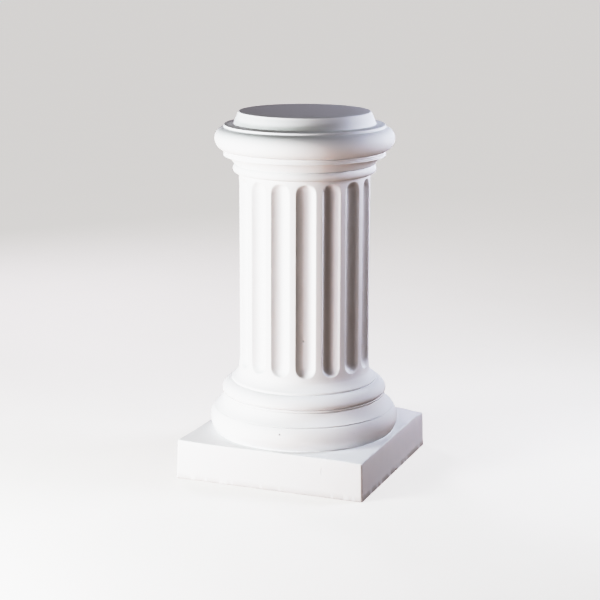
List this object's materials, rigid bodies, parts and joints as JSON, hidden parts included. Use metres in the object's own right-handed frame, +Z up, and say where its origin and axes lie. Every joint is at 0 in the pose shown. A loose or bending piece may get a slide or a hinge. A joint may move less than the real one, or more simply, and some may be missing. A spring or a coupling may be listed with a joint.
{
  "type": "doric pedestal column",
  "caption": "Short fluted column cast in one piece with a square plinth, a moulded base and a flat round capital, for standing things on.",
  "frame": {"origin": "centre of the plinth's underside", "axes": "+Z up along the column's axis, +X and +Y square to the plinth's faces; a flute is centred over each plinth face"},
  "size_m": [0.334, 0.334, 0.61],
  "materials": {
    "plaster": "matt white cast plaster, smooth, with small pinholes and softened edges"
  },
  "bodies": {
    "root": {"column": "plaster"}
  },
  "joints": []
}
